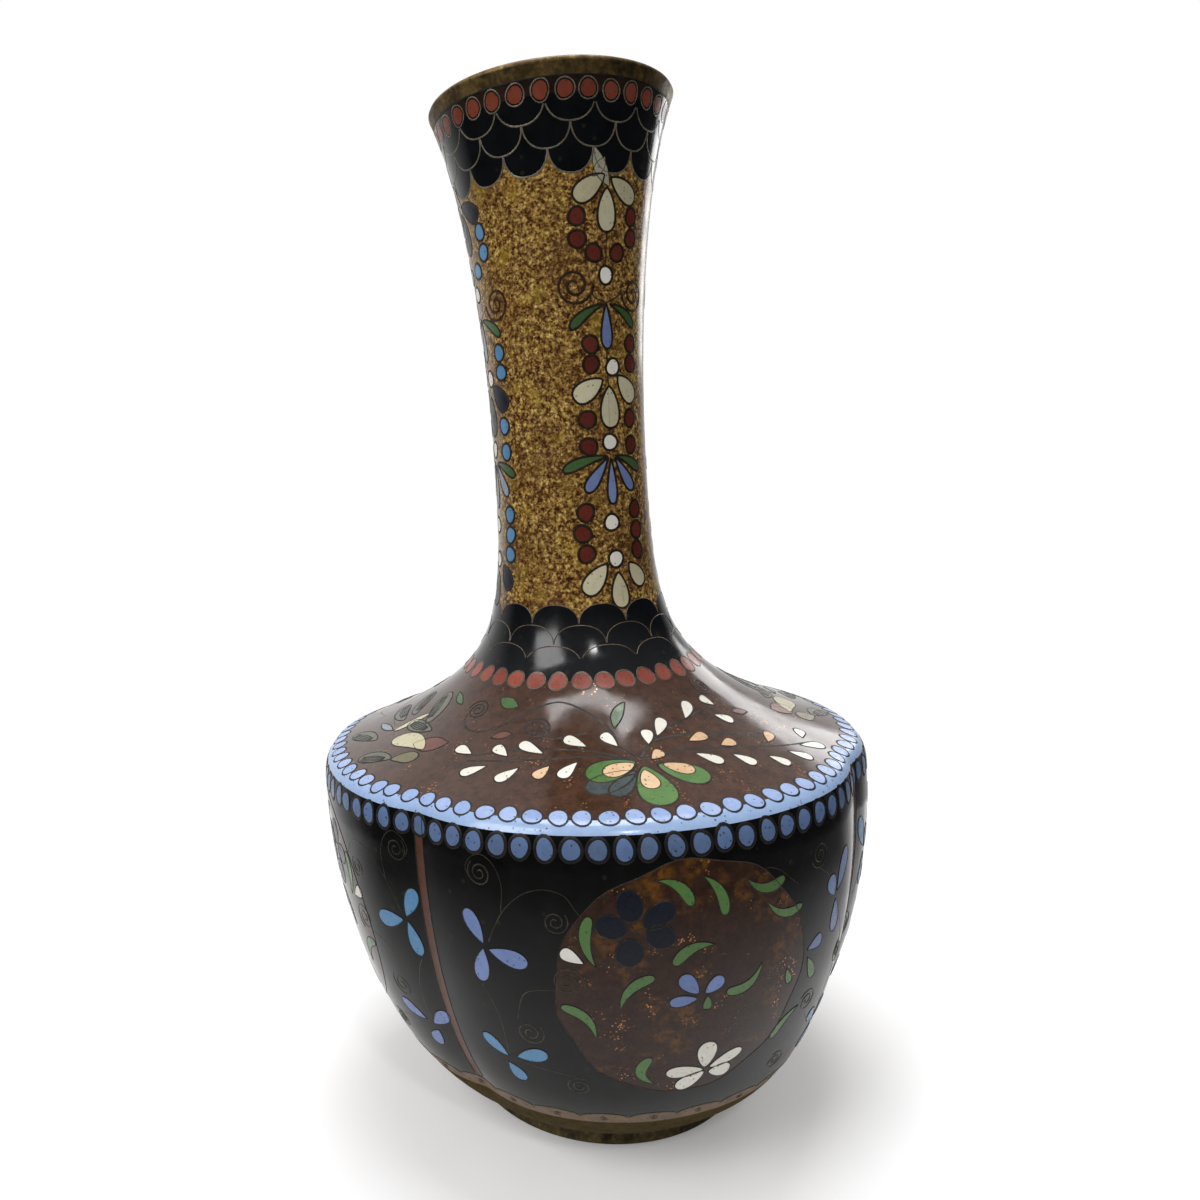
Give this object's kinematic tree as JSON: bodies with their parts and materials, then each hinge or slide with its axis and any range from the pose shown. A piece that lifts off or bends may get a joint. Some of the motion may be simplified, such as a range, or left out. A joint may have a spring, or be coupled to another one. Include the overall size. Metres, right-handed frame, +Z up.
{
  "type": "cloisonne vase",
  "caption": "Long-necked decorative vase with a lobed body, copper walls, brass rims, and enamel fields and wires inlaid outside.",
  "frame": {"origin": "centre of the foot ring's underside, on the surface the vase stands on", "axes": "+Z up along the vase's axis; -Y is the front, through the middle of one lobe"},
  "size_m": [0.0832, 0.0832, 0.152],
  "materials": {
    "brass_worn": "worn brass with brown patina",
    "copper": "spun copper wall, hidden between the two enamels",
    "cloison_wire": "thin brass partition wire, ground flush",
    "tea_gold_enamel": "opaque vitreous enamel filled with gold-brown sparkle grains, polished",
    "brown_sparkle_enamel": "dark brown sparkling enamel, polished",
    "black_enamel": "black enamel, polished, with small pits",
    "brick_red_enamel": "brick red enamel dots in wire rings",
    "light_blue_enamel": "light blue enamel, polished",
    "tan_enamel": "tan enamel border",
    "rust_enamel": "rust red enamel stripe in the grooves",
    "counter_enamel": "dark counter enamel on the inside and under the foot"
  },
  "bodies": {
    "root": {"base_enamel": "counter_enamel", "body_lining": "counter_enamel", "collar_wire": "cloison_wire", "copper_body": "copper", "copper_neck": "copper", "edge_band": "light_blue_enamel", "edge_lower_beads": "light_blue_enamel", "edge_upper_beads": "light_blue_enamel", "foot_border": "tan_enamel", "foot_ring": "brass_worn", "foot_wire": "cloison_wire", "mouth_bead_band": "brick_red_enamel", "mouth_ring": "brass_worn", "mouth_scale_band": "black_enamel", "mouth_wire": "cloison_wire", "neck_field": "tea_gold_enamel", "neck_lining": "counter_enamel", "panel_back": "black_enamel", "panel_front": "black_enamel", "panel_left": "black_enamel", "panel_right": "black_enamel", "root_bead_band": "brick_red_enamel", "root_scale_band": "black_enamel", "root_wire": "cloison_wire", "roundel_back": "brown_sparkle_enamel", "roundel_front": "brown_sparkle_enamel", "roundel_left": "brown_sparkle_enamel", "roundel_right": "brown_sparkle_enamel", "shoulder_field": "brown_sparkle_enamel", "shoulder_wire": "cloison_wire", "stripe_back": "rust_enamel", "stripe_front": "rust_enamel", "stripe_left": "rust_enamel", "stripe_right": "rust_enamel"}
  },
  "joints": []
}
